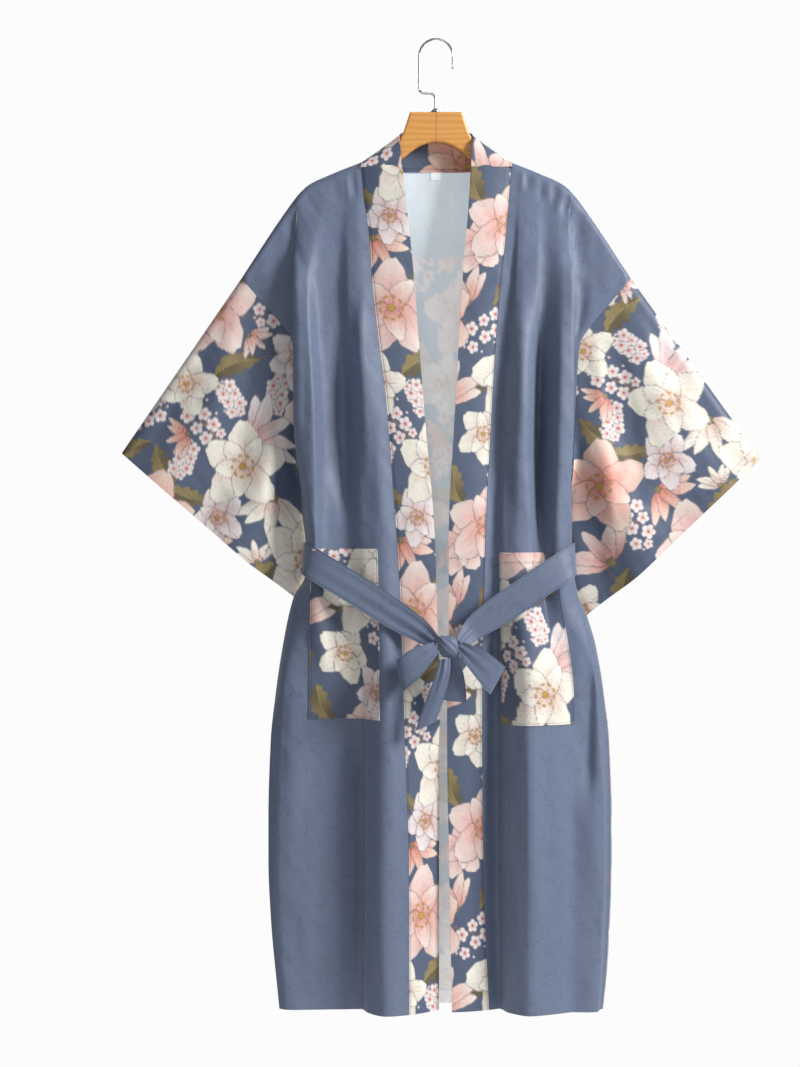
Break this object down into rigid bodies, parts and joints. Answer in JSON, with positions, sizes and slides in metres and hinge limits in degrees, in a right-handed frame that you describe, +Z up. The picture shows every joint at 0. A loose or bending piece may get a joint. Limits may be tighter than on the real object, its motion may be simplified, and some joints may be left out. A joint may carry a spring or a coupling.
{
  "type": "kimono robe on hanger",
  "caption": "Open-front kimono robe with wide sleeves, a printed neck band, patch pockets, side slits and a tied belt, hung flat on a wooden hanger.",
  "frame": {"origin": "inner top of the hook, where a rail holds it", "axes": "+Z up along the hook stem, -Y out of the front of the robe, +X to the right as seen from the front"},
  "size_m": [0.849, 0.1304, 1.289],
  "materials": {
    "plain_cloth": "dusty blue light woven cloth with a faint tone-on-tone vine and a soft sheen",
    "printed_cloth": "the same cloth printed with pale flowers and olive leaves on a dusty blue ground",
    "label_tape": "bare white woven tape",
    "hanger_wood": "satin lacquered pale wood",
    "hook_chrome": "bright plated wire"
  },
  "bodies": {
    "root": {"front_left": "plain_cloth", "front_right": "plain_cloth", "back": "plain_cloth", "belt_left": "plain_cloth", "belt_right": "plain_cloth", "belt_back": "plain_cloth", "belt_knot": "plain_cloth", "bow_loop_left": "plain_cloth", "bow_loop_right": "plain_cloth", "bow_tail_left": "plain_cloth", "bow_tail_right": "plain_cloth", "sleeve_left": "printed_cloth", "sleeve_right": "printed_cloth", "band_left": "printed_cloth", "band_right": "printed_cloth", "band_neck": "printed_cloth", "pocket_left": "printed_cloth", "pocket_right": "printed_cloth", "size_label": "label_tape", "hanger_wood": "hanger_wood", "hook": "hook_chrome", "hook_ferrule": "hook_chrome"}
  },
  "joints": []
}
